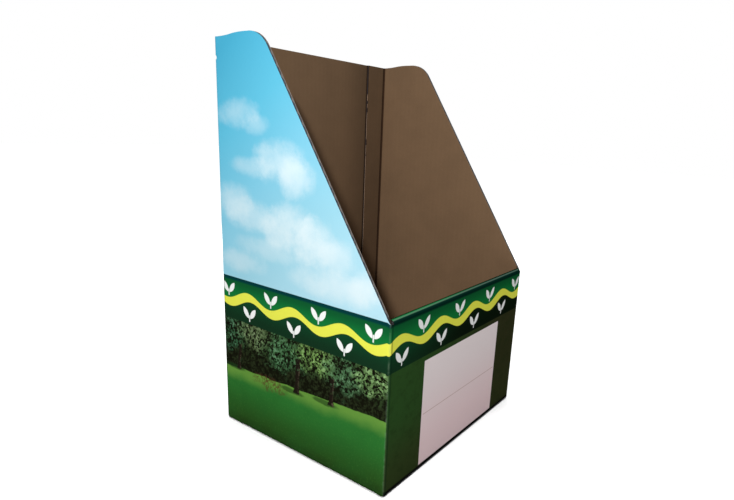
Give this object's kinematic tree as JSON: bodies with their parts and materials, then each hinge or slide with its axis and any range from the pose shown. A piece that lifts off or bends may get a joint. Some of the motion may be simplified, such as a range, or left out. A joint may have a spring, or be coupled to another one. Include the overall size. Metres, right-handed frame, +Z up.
{
  "type": "counter display box",
  "caption": "Open-fronted counter display box of folded corrugated board, with a high back, sloping sides and a low rolled front.",
  "frame": {"origin": "centre of the footprint, on the surface that the box stands on", "axes": "+X along the front towards the glued corner, +Y from the low front to the high back, +Z up"},
  "size_m": [0.26, 0.224, 0.4025],
  "materials": {
    "printed_board": "printed and lightly glossy outside, bare kraft inside"
  },
  "bodies": {
    "root": {"display_box": "printed_board"}
  },
  "joints": []
}
